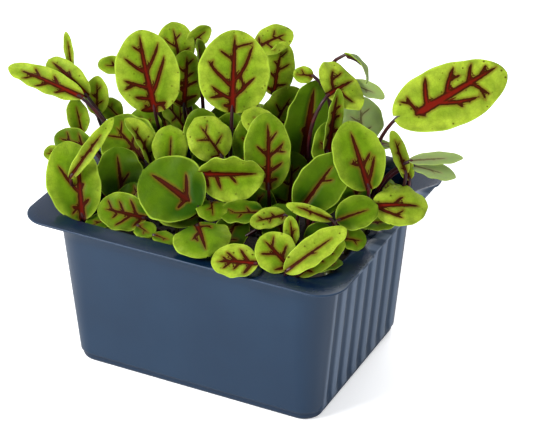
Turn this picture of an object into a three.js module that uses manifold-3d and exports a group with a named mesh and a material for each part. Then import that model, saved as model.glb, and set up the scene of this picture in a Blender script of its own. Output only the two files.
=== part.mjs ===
// A punnet of young red-veined sorrel: a flanged plastic tray, its growing medium and the plants
// that stand in it. Millimetres, +Z up. The origin is the middle of the tray's flat underside,
// +X runs along the tray's long side and -Y is its front.
import * as THREE from 'three';
import { mergeVertices } from 'three/addons/utils/BufferGeometryUtils.js';
import Module from 'manifold-3d';

const wasm = await Module();
wasm.setup();

// Tray
const RIM_LENGTH = 180;
const RIM_WIDTH = 146;
const TRAY_HEIGHT = 91;
const SHEET = 1.2;
const FLANGE_REACH = 11;
const FLANGE_RADIUS = 15;
const MOUTH_RADIUS = 19;
const BASE_RADIUS = 11.5;
const LIP_ROUND = 1.4;
const FOOT_HEIGHT = 4.8;
const FOOT_INSET = 1.2;
const FOOT_ROUND = 2.2;
const GROOVE_COUNT = 7;
const GROOVE_DEPTH = 1.6;
const GROOVE_RISE = 5;
const GROOVE_STEPS = 3;
const CORNER_STEPS = 5;
const NOTCH_DEPTH = 1.2;
const NOTCH_FROM = -25;
const NOTCH_TO = 54;

// Growing medium
const SOIL_LEVEL = 69;
const GAP = 0.3;
const HOLE_RADIUS = 3.5;
const HOLE_DEPTH = 9;
const HOLE_SIDES = 6;

// Plants
const CROWN_RADIUS = 2.6;
const CROWN_SIDES = 6;
const CROWN_ABOVE = 2;
const CROWN_BELOW = 8;
const STALK_RADIUS = 1.25;
const NECK_RADIUS = 0.9;
const STALK_LEAN = 0.7;
const STALK_STEPS = 3;
const BLADE_THICKNESS = 0.7;
const BLADE_COLUMNS = 4;
const BLADE_ROWS = 5;
const SMALL_BLADE = 16;
const SMALL_COLUMNS = 2;
const SMALL_ROWS = 4;
const BASE_FULLNESS = 0.45;
const TIP_FULLNESS = 0.55;

// The centres that all four corners of the tray's wall are rounded about.
const CORNER_X = RIM_LENGTH / 2 - FLANGE_REACH - MOUTH_RADIUS;
const CORNER_Y = RIM_WIDTH / 2 - FLANGE_REACH - MOUTH_RADIUS;
const UNDER_FLANGE = TRAY_HEIGHT - SHEET;

// Each leaf is [x, y, z of its neck, azimuth and rise of the way its upper face looks, clock of its
// tip as seen from there, length, width, bend, cup], in millimetres and degrees. Azimuth 0 looks
// to the front and 90 to the right. A bend curls the tip back, and a cup lifts the margins.
const FRONT_PLANTS = [
  { foot: [-60, 6], leaves: [
    [-90, -6, 130, 20, 50, -70, 43, 14, 20, 0.3],
    [-91, 2, 127, 20, 45, -50, 30, 14, 50, 0.3],
    [-107, 14, 135, 26, 20, -8, 19, 5, 5, 0.4],
    [-88, 7, 115, 30, 15, 2, 20, 13, 10, 0.3],
    [-91, -4, 108, 26, 15, -12, 19, 12, 10, 0.3],
    [-72, -2, 89, 20, 25, 7, 22, 18, 10, 0.1]] },
  { foot: [-58, -22], leaves: [
    [-62, -54, 89, 26, 35, -14, 40, 28, 15, 0.15],
    [-70, -50, 109, 26, 30, 36, 37, 8, 20, 0.4],
    [-79, -16, 107, 20, 40, -77, 20, 15, 10, 0.2],
    [-95, -20, 102, 26, 50, -97, 9, 9, 10, 0.2],
    [-51, -6, 100, 20, 30, -44, 30, 30, -20, 0.3],
    [-54, -26, 87, 26, 35, -8, 28, 26, -15, 0.25]] },
  { foot: [-42, -30], leaves: [
    [-44, -14, 106, 78, 25, -14, 28, 13, 50, 0.6],
    [-31, -44, 91, 20, 50, -80, 25, 21, 15, 0.2],
    [-49, -48, 88, 0, 75, -140, 14, 12, 10, 0.1],
    [-42, -35, 82, 15, 35, -10, 20, 20, 15, 0.1]] },
  { foot: [-44, 14], leaves: [
    [-52, 6, 126, 26, 12, -9, 43, 34, 12, 0.1],
    [-54, 4, 108, 26, 30, -20, 18, 18, 40, -0.1],
    [-77, 12, 112, 26, 40, -43, 14, 12, 40, -0.1],
    [-78, 22, 138, 26, 30, -86, 15, 10, 10, 0.3],
    [-50, 4, 87, 20, 25, 10, 25, 20, 15, 0.1]] },
  { foot: [-20, -28], leaves: [
    [-31, -16, 108, 26, 30, 0, 21, 19, 30, -0.05],
    [-3, -38, 102, 20, 42, -61, 34, 35, 5, 0.12],
    [-4, -33, 94, 20, 42, -64, 31, 27, 5, 0.12],
    [-29, -54, 92, 20, 75, 127, 11, 12, 10, 0.1],
    [-18, -57, 91, 20, 75, 110, 12, 9, 10, 0.1]] },
  { foot: [-36, 34], leaves: [
    [-42, 20, 124, 40, 10, 6, 30, 20, 10, 0.2],
    [-48, 28, 143, 26, 30, -12, 23, 20, 20, 0.1],
    [-46, 34, 152, 26, 30, 50, 15, 10, 20, 0.3],
    [-34, 24, 150, 80, 10, 2, 12, 8, 10, 0.4],
    [-47, 36, 98, 20, 25, -12, 18, 17, 15, 0.1],
    [-57, 30, 95, 26, 30, -15, 21, 22, 15, 0.1],
    [-34, 24, 90, 26, 30, 10, 9, 14, 15, 0.1]] },
  { foot: [-4, -4], leaves: [
    [-7, 8, 135, 26, 12, 3, 42, 37, 8, 0.08],
    [-5, -8, 116, 26, 35, -36, 24, 23, 30, -0.05],
    [-6, -28, 115, 26, 0, 89, 32, 26, 10, 0.5],
    [-23, 8, 107, 20, 15, -9, 23, 20, 10, 0.1],
    [-16, 2, 89, 20, 20, -10, 24, 20, 15, 0.1],
    [-14, 16, 99, 26, 25, 6, 26, 22, 10, 0.1]] },
  { foot: [4, -42], leaves: [
    [4, -52, 100, 10, 75, 150, 24, 30, 40, -0.1],
    [28, -28, 101, 20, 75, -97, 22, 17, 10, 0.1],
    [1, -31, 102, 26, 80, 175, 16, 16, 30, 0],
    [13, -40, 83, 20, 50, 20, 20, 18, 15, 0.1]] },
  { foot: [0, 34], leaves: [
    [-8, 38, 157, 26, 45, 66, 21, 16, 30, 0.1],
    [3, 36, 134, 26, 15, 11, 28, 17, 15, 0.15],
    [6, 26, 117, 26, 30, 33, 27, 20, 15, 0.3],
    [-26, 37, 100, 26, 35, 11, 20, 18, 15, 0.1]] },
  { foot: [22, -4], leaves: [
    [23, -10, 106, 26, 20, -2, 38, 24, 12, 0.12],
    [20, 4, 125, 26, 50, -45, 24, 16, 60, 0.1],
    [29, 2, 90, 26, 10, 2, 30, 24, 20, -0.1],
    [5, 2, 109, 30, 20, 6, 26, 18, 10, 0.1],
    [19, -14, 83, 20, 30, -4, 22, 20, 15, 0.1]] },
  { foot: [38, -44], leaves: [
    [44, -66, 96, 20, 60, -92, 22, 19, 20, 0.2],
    [58, -58, 94, 30, 40, -42, 20, 21, 15, 0.15],
    [41, -28, 103, 20, 60, -110, 18, 12, 10, 0.1],
    [54, -45, 99, 20, 20, -9, 14, 8, 5, 0.3]] },
  { foot: [58, -40], leaves: [
    [60, -63, 95, 15, 40, 48, 35, 14, 15, 0.4],
    [65, -60, 93, 26, 30, 54, 27, 12, 10, 0.2],
    [60, -40, 97, 26, 35, 45, 14, 13, 20, 0.1],
    [67, -55, 93, 30, 80, 77, 18, 10, 10, 0.1]] },
  { foot: [32, 20], leaves: [
    [30, 16, 111, 30, 10, 9, 43, 26, 10, 0.3],
    [46, 11, 154, 50, 56, 73, 18, 31, 20, 0.1],
    [33, 20, 158, 26, 30, -87, 10, 9, 10, 0.2]] },
  { foot: [44, -18], leaves: [
    [47, -22, 105, 26, 20, 37, 35, 24, 10, 0.2],
    [51, -10, 97, 40, 20, 34, 31, 16, 10, 0.2],
    [51, 0, 128, 50, 10, 15, 33, 9, 10, 0.4],
    [53, 4, 115, 30, 20, -5, 26, 20, 10, 0.1],
    [69, -34, 111, 30, 30, -70, 23, 7, 10, 0.3],
    [39, -26, 83, 20, 35, -10, 22, 20, 15, 0.1]] },
  { foot: [62, -20], leaves: [
    [68, -22, 104, 20, 55, 65, 21, 19, 15, 0.1],
    [72, -25, 96, 40, 45, 104, 12, 12, 10, 0.1],
    [81, -6, 107, 40, 60, 99, 27, 24, 40, -0.1],
    [73, -6, 95, 30, 70, 88, 19, 12, 10, 0.1]] },
  { foot: [60, 4], leaves: [
    [76, -4, 116, 30, 12, -18, 36, 26, 15, 0.15],
    [58, 28, 122, 20, 20, -6, 24, 23, 40, -0.1],
    [71, -6, 107, 30, 30, -8, 19, 18, 10, 0.1]] },
  { foot: [60, 26], leaves: [
    [82, 18, 147, 20, 25, 65, 58, 32, 12, 0.08],
    [90, 10, 121, 26, 30, -19, 22, 8, 5, 0.3],
    [92, 12, 127, 20, 45, 84, 26, 7, 10, 0.4],
    [92, 16, 122, 26, 60, 109, 22, 10, 10, 0.3],
    [91, 13, 116, 40, 20, -17, 14, 8, 10, 0.3]] },
  { foot: [36, 42], leaves: [
    [48, 27, 170, 120, 38, -150, 20, 10, 90, 0.2],
    [51, 27, 154, 26, 55, 115, 19, 9, 10, 0.4]] },
];

// The rear row repeats one fan of leaves with small seeded differences. A foot is [x, y, size of
// its fan], and each row of the fan is [azimuth, how far out from the foot, height over the
// medium, rise, clock, length, width].
const REAR_FEET = [[-62, 32, 1], [-26, 49, 1], [8, 49, 1], [46, 48, 0.9], [66, 38, 0.55]];
const REAR_FAN = [
  [95, 13, 33, 25, -20, 24, 20],
  [155, 12, 38, 60, 160, 25, 21],
  [190, 9, 33, 20, 0, 24, 18],
  [265, 13, 32, 25, 20, 24, 20]];
const REAR_SEED = 11;
const REAR_BEND = 20;
const REAR_CUP = 0.12;

function seededDraw(seed) {
  let state = seed;
  return () => {
    state = (state * 48271) % 2147483647;
    return (2 * state) / 2147483647 - 1;
  };
}

function rearPlants() {
  const draw = seededDraw(REAR_SEED);
  return REAR_FEET.map(([x, y, size]) => ({
    foot: [x, y],
    leaves: REAR_FAN.map(([azimuth, out, height, rise, clock, long, wide]) => {
      const az = azimuth + 6 * draw();
      const turn = THREE.MathUtils.degToRad(az);
      const reach = size * (out + draw());
      return [
        x + reach * Math.sin(turn), y - reach * Math.cos(turn),
        SOIL_LEVEL + size * (height + 2 * draw()),
        az, rise + 6 * draw(), clock + 8 * draw(), size * (long + 2 * draw()), size * wide,
        REAR_BEND, REAR_CUP];
    }),
  }));
}

const PLANTS = [...FRONT_PLANTS, ...rearPlants()];

function toGeometry(positions, index) {
  const geometry = new THREE.BufferGeometry();
  geometry.setAttribute('position', new THREE.Float32BufferAttribute(positions, 3));
  geometry.setIndex(index);
  return geometry;
}

// A closed skin through rings of equally many points, with a fan over the first and last ring.
function loft(rings) {
  const count = rings[0].length;
  const positions = [];
  const index = [];
  for (const ring of rings) {
    for (const p of ring) positions.push(p.x, p.y, p.z);
  }
  for (let i = 0; i < rings.length - 1; i += 1) {
    for (let j = 0; j < count; j += 1) {
      const a = i * count + j;
      const b = i * count + (j + 1) % count;
      index.push(a, b, b + count, a, b + count, a + count);
    }
  }
  for (const [ring, first] of [[rings[0], true], [rings.at(-1), false]]) {
    const middle = ring.reduce((sum, p) => sum.add(p), new THREE.Vector3()).divideScalar(count);
    const apex = positions.length / 3;
    const start = first ? 0 : (rings.length - 1) * count;
    positions.push(middle.x, middle.y, middle.z);
    for (let j = 0; j < count; j += 1) {
      const a = start + j;
      const b = start + (j + 1) % count;
      if (first) index.push(apex, b, a);
      else index.push(apex, a, b);
    }
  }
  return toGeometry(positions, index);
}

function toSolid(geometry) {
  const merged = mergeVertices(geometry);
  const mesh = new wasm.Mesh({
    numProp: 3,
    vertProperties: new Float32Array(merged.attributes.position.array),
    triVerts: new Uint32Array(merged.index.array),
  });
  return new wasm.Manifold(mesh);
}

function fromSolid(solid) {
  const { vertProperties, triVerts } = solid.getMesh();
  return toGeometry(Array.from(vertProperties), Array.from(triVerts));
}

// A rounded rectangle at one height, anticlockwise from the right end. Its corners turn about
// (cornerX, cornerY), and its two ends are split into steps that can dip as grooves.
function trayRing(cornerX, cornerY, radius, z, groove = 0, endSteps = GROOVE_COUNT * GROOVE_STEPS) {
  const points = [];
  const corner = (sx, sy, from) => {
    for (let i = 0; i <= CORNER_STEPS; i += 1) {
      const turn = THREE.MathUtils.degToRad(from + (90 * i) / CORNER_STEPS);
      points.push(new THREE.Vector3(
        sx * cornerX + radius * Math.cos(turn), sy * cornerY + radius * Math.sin(turn), z));
    }
  };
  const end = (side) => {
    for (let i = 1; i < endSteps; i += 1) {
      const dip = (groove * (1 - Math.cos((2 * Math.PI * i) / GROOVE_STEPS))) / 2;
      const y = side * cornerY * ((2 * i) / endSteps - 1);
      points.push(new THREE.Vector3(side * (cornerX + radius - dip), y, z));
    }
  };
  end(1);
  corner(1, 1, 0);
  corner(-1, 1, 90);
  end(-1);
  corner(-1, -1, 180);
  corner(1, -1, 270);
  return points;
}

// How far the outside of the wall lies from the corner centres at a height.
function wallRadius(z) {
  const share = (z - FOOT_HEIGHT) / (UNDER_FLANGE - FOOT_HEIGHT);
  return THREE.MathUtils.lerp(BASE_RADIUS, MOUTH_RADIUS, share);
}

function trayGeometry() {
  const wall = (radius, z, groove) => trayRing(CORNER_X, CORNER_Y, radius, z, groove);
  const flangeX = RIM_LENGTH / 2 - FLANGE_RADIUS;
  const flangeY = RIM_WIDTH / 2 - FLANGE_RADIUS;
  const grooved = FOOT_HEIGHT + GROOVE_RISE;
  const footRadius = BASE_RADIUS - FOOT_INSET;
  const shell = toSolid(loft([
    wall(footRadius - FOOT_ROUND, 0),
    wall(footRadius - FOOT_ROUND / 3, FOOT_ROUND / 3),
    wall(footRadius, FOOT_HEIGHT - FOOT_INSET),
    wall(BASE_RADIUS, FOOT_HEIGHT),
    wall(wallRadius(grooved), grooved, GROOVE_DEPTH),
    wall(MOUTH_RADIUS, UNDER_FLANGE, GROOVE_DEPTH),
    trayRing(flangeX, flangeY, FLANGE_RADIUS, UNDER_FLANGE),
    trayRing(flangeX, flangeY, FLANGE_RADIUS, TRAY_HEIGHT),
    wall(MOUTH_RADIUS + LIP_ROUND - SHEET, TRAY_HEIGHT),
    wall(wallRadius(UNDER_FLANGE - LIP_ROUND) - SHEET, UNDER_FLANGE - LIP_ROUND, GROOVE_DEPTH),
    wall(wallRadius(grooved) - SHEET, grooved, GROOVE_DEPTH),
    wall(BASE_RADIUS - SHEET, FOOT_HEIGHT),
    wall(footRadius - FOOT_ROUND, SHEET),
  ]));
  // The right-hand edge of the flange steps in a little along its rear part.
  const notch = new THREE.BoxGeometry(2 * NOTCH_DEPTH, NOTCH_TO - NOTCH_FROM, 4 * SHEET);
  notch.deleteAttribute('normal');
  notch.deleteAttribute('uv');
  notch.translate(RIM_LENGTH / 2, (NOTCH_TO + NOTCH_FROM) / 2, TRAY_HEIGHT);
  return fromSolid(shell.subtract(toSolid(notch)));
}

function upright(x, y, radius, sides, bottom, top) {
  const geometry = new THREE.CylinderGeometry(radius, radius, top - bottom, sides);
  geometry.deleteAttribute('normal');
  geometry.deleteAttribute('uv');
  geometry.rotateX(Math.PI / 2);
  geometry.translate(x, y, (bottom + top) / 2);
  return toSolid(geometry);
}

function soilGeometry() {
  const side = (radius, z) => (
    trayRing(CORNER_X - GROOVE_DEPTH, CORNER_Y, radius - SHEET - GAP, z, 0, 1));
  let soil = toSolid(loft([
    side(BASE_RADIUS - FOOT_ROUND, SHEET + GAP),
    side(BASE_RADIUS, FOOT_HEIGHT + GAP),
    side(wallRadius(SOIL_LEVEL), SOIL_LEVEL),
  ]));
  const bottom = SOIL_LEVEL - HOLE_DEPTH;
  for (const { foot: [x, y] } of PLANTS) {
    soil = soil.subtract(upright(x, y, HOLE_RADIUS, HOLE_SIDES, bottom, SOIL_LEVEL + 1));
  }
  return fromSolid(soil);
}

// The three axes of a leaf's middle: along it, across it, and the way its upper face looks.
function leafAxes(azimuth, rise, clock) {
  const [az, el, turn] = [azimuth, rise, clock].map(THREE.MathUtils.degToRad);
  const face = new THREE.Vector3(
    Math.sin(az) * Math.cos(el), -Math.cos(az) * Math.cos(el), Math.sin(el));
  const right = new THREE.Vector3(Math.cos(az), Math.sin(az), 0);
  const up = new THREE.Vector3().crossVectors(face, right);
  const along = up.clone().multiplyScalar(Math.cos(turn)).addScaledVector(right, Math.sin(turn));
  const across = new THREE.Vector3().crossVectors(along, face);
  return { along, across, face };
}

function makeLeaf([x, y, z, azimuth, rise, clock, long, wide, bend, cup]) {
  const neck = new THREE.Vector3(x, y, z);
  const axes = leafAxes(azimuth, rise, clock);
  return { neck, ...axes, long, wide, bend: THREE.MathUtils.degToRad(bend), cup };
}

// The leaf's middle surface: a point and its normal for a share u of the length, from the neck,
// and a place v from -1 to 1 across. The midrib is an arc.
function bladePoint(leaf, u, v) {
  const { neck, along, across, face, long, wide, bend, cup } = leaf;
  const turn = bend * (u - 0.5);
  const chord = (Math.sin(turn) + Math.sin(bend / 2)) / bend;
  const sag = (Math.cos(turn) - Math.cos(bend / 2)) / bend;
  const upward = face.clone().multiplyScalar(Math.cos(turn)).addScaledVector(along, Math.sin(turn));
  const full = BASE_FULLNESS ** BASE_FULLNESS * TIP_FULLNESS ** TIP_FULLNESS;
  const half = ((wide / 2) * u ** BASE_FULLNESS * (1 - u) ** TIP_FULLNESS) / full;
  const point = neck.clone()
    .addScaledVector(along, chord * long)
    .addScaledVector(face, sag * long)
    .addScaledVector(across, half * v)
    .addScaledVector(upward, cup * half * v * v);
  const normal = upward.addScaledVector(across, -2 * cup * v).normalize();
  return { point, normal };
}

// The stalk rises from the crown, leans over and arrives at the neck between its own direction and
// the blade's.
function stalkPath({ neck, along, face, bend }, foot) {
  const outward = new THREE.Vector3(neck.x - foot[0], neck.y - foot[1], 0);
  const root = new THREE.Vector3(foot[0], foot[1], SOIL_LEVEL)
    .addScaledVector(outward.clone().normalize(), STALK_RADIUS);
  const span = neck.clone().sub(root);
  const reach = span.length();
  const rise = outward.setZ(2 * reach).normalize();
  const arrive = along.clone().multiplyScalar(Math.cos(bend / 2))
    .addScaledVector(face, Math.sin(bend / 2))
    .addScaledVector(span, STALK_LEAN / reach)
    .normalize();
  return new THREE.CubicBezierCurve3(
    root,
    root.clone().addScaledVector(rise, 0.4 * reach),
    neck.clone().addScaledVector(arrive, -0.3 * reach),
    neck,
  );
}

// The four-sided rings of a stalk, each as its upper, right, lower and left corner. The last one
// is square to the blade's neck.
function stalkCorners(leaf, foot) {
  const path = stalkPath(leaf, foot);
  const corners = [];
  let { normal } = bladePoint(leaf, 0, 0);
  let across = leaf.across;
  for (let i = STALK_STEPS; i >= 0; i -= 1) {
    const share = i / STALK_STEPS;
    if (i < STALK_STEPS) {
      const ahead = path.getTangent(share);
      normal = normal.clone().addScaledVector(ahead, -normal.dot(ahead)).normalize();
      across = new THREE.Vector3().crossVectors(ahead, normal);
    }
    const centre = path.getPoint(share);
    const radius = THREE.MathUtils.lerp(STALK_RADIUS, NECK_RADIUS, share);
    const ring = [[normal, 1], [across, 1], [normal, -1], [across, -1]];
    corners.unshift(...ring.map(([axis, side]) => (
      centre.clone().addScaledVector(axis, side * radius))));
  }
  return corners;
}

// One leaf as a closed solid: a four-sided stalk whose last ring opens into a thin blade. Both
// faces of the blade share the same split into triangles.
function leafGeometry(leaf, foot) {
  const [rows, columns] = leaf.long < SMALL_BLADE
    ? [SMALL_ROWS, SMALL_COLUMNS]
    : [BLADE_ROWS, BLADE_COLUMNS];
  const places = [];
  for (let i = 1; i < rows; i += 1) {
    const u = (1 - Math.cos((Math.PI * i) / rows)) / 2;
    for (let j = 0; j <= columns; j += 1) places.push([u, (2 * j) / columns - 1]);
  }
  places.push([1, 0]);

  const points = stalkCorners(leaf, foot);
  const first = points.length;
  for (const side of [1, -1]) {
    for (const [u, v] of places) {
      const { point, normal } = bladePoint(leaf, u, v);
      points.push(point.addScaledVector(normal, (side * BLADE_THICKNESS) / 2));
    }
  }

  const index = [0, 3, 2, 0, 2, 1];
  for (let i = 0; i < STALK_STEPS; i += 1) {
    for (let j = 0; j < 4; j += 1) {
      const a = 4 * i + j;
      const b = 4 * i + (j + 1) % 4;
      index.push(a, b, b + 4, a, b + 4, a + 4);
    }
  }
  const under = places.length;
  const corner = (i, j) => first + (i === rows ? under - 1 : (i - 1) * (columns + 1) + j);
  const split = (a, b, c) => index.push(a, b, c, a + under, c + under, b + under);
  for (let i = 1; i < rows; i += 1) {
    for (let j = 0; j < columns; j += 1) {
      split(corner(i, j), corner(i, j + 1), corner(i + 1, j + 1));
      if (i < rows - 1) split(corner(i, j), corner(i + 1, j + 1), corner(i + 1, j));
    }
  }
  const [above, right, below, left] = [first - 4, first - 3, first - 2, first - 1];
  for (let j = 0; j < columns; j += 1) {
    index.push(above, corner(1, j + 1), corner(1, j));
    index.push(below, corner(1, j) + under, corner(1, j + 1) + under);
  }
  const [near, far] = [corner(1, columns), corner(1, 0)];
  index.push(above, right, near, right, near + under, near, right, below, near + under);
  index.push(above, far, left, left, far, far + under, left, far + under, below);
  const margin = [];
  for (let i = 1; i <= rows; i += 1) margin.push(corner(i, columns));
  for (let i = rows - 1; i > 0; i -= 1) margin.push(corner(i, 0));
  for (let k = 1; k < margin.length; k += 1) {
    const [a, b] = [margin[k - 1], margin[k]];
    index.push(b, a, a + under, b, a + under, b + under);
  }
  return toGeometry(points.flatMap((p) => p.toArray()), index);
}

function plantGeometry({ foot, leaves }) {
  const [bottom, top] = [SOIL_LEVEL - CROWN_BELOW, SOIL_LEVEL + CROWN_ABOVE];
  let plant = upright(foot[0], foot[1], CROWN_RADIUS, CROWN_SIDES, bottom, top);
  for (const row of leaves) plant = plant.add(toSolid(leafGeometry(makeLeaf(row), foot)));
  return fromSolid(plant);
}

const plastic = new THREE.MeshStandardMaterial({ color: 0x3f5169, roughness: 0.4, metalness: 0 });
const medium = new THREE.MeshStandardMaterial({ color: 0x1d1610, roughness: 1, metalness: 0 });
const foliage = new THREE.MeshStandardMaterial({ color: 0x76a52c, roughness: 0.5, metalness: 0 });

function addPiece(group, name, geometry, material) {
  geometry.computeVertexNormals();
  const mesh = new THREE.Mesh(geometry, material);
  mesh.name = name;
  group.add(mesh);
}

const punnet = new THREE.Group();
addPiece(punnet, 'tray', trayGeometry(), plastic);
addPiece(punnet, 'growing_medium', soilGeometry(), medium);
PLANTS.forEach((plant, i) => {
  addPiece(punnet, `plant_${String(i + 1).padStart(2, '0')}`, plantGeometry(plant), foliage);
});

export default punnet;
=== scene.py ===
import functools
import math

import bmesh
import bpy
import numpy as np
from mathutils import Matrix, Vector, noise


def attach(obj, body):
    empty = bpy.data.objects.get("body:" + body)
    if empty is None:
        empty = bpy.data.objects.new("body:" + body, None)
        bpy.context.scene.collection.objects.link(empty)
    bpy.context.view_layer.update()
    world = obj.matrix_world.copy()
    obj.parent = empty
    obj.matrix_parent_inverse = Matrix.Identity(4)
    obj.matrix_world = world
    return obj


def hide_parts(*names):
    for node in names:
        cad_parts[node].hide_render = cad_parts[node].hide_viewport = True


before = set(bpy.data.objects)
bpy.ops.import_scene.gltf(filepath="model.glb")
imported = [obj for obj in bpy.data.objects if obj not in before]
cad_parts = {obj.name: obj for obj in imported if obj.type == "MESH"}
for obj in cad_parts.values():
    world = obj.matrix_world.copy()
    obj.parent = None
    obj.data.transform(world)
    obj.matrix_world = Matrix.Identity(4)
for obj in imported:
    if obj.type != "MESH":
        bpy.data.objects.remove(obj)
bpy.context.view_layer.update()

bl_info = {
    "name": "Sorrel in a tray pot",
    "version": (1, 0, 0),
    "blender": (4, 5, 0),
    "location": "View3D > Sidebar > Sorrel",
    "description": "Red-veined sorrel, growing medium and a ribbed tray pot around the CAD frame",
    "category": "Object",
}

MM = 0.001
PANEL_TAB = "Sorrel"

# ---- sizes shared with the solids, in mm

RIM_LENGTH, RIM_WIDTH, TRAY_HEIGHT = 180, 146, 91
SHEET = 1.2
FLANGE_REACH, FLANGE_RADIUS = 11, 15
MOUTH_RADIUS, BASE_RADIUS = 19, 11.5
FOOT_HEIGHT, FOOT_INSET, FOOT_ROUND = 4.8, 1.2, 2.2
GROOVE_COUNT, GROOVE_RISE = 7, 5
NOTCH_DEPTH, NOTCH_FROM, NOTCH_TO = 1.2, -25, 54
CORNER_X = RIM_LENGTH / 2 - FLANGE_REACH - MOUTH_RADIUS
CORNER_Y = RIM_WIDTH / 2 - FLANGE_REACH - MOUTH_RADIUS
UNDER_FLANGE = TRAY_HEIGHT - SHEET
SOIL_LEVEL = 69
GAP = 0.3
CROWN_RADIUS, CROWN_BELOW, CROWN_ABOVE = 2.6, 8, 2
STALK_RADIUS, NECK_RADIUS, STALK_LEAN = 1.25, 0.9, 0.7
BASE_FULLNESS, TIP_FULLNESS = 0.45, 0.55

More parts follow.
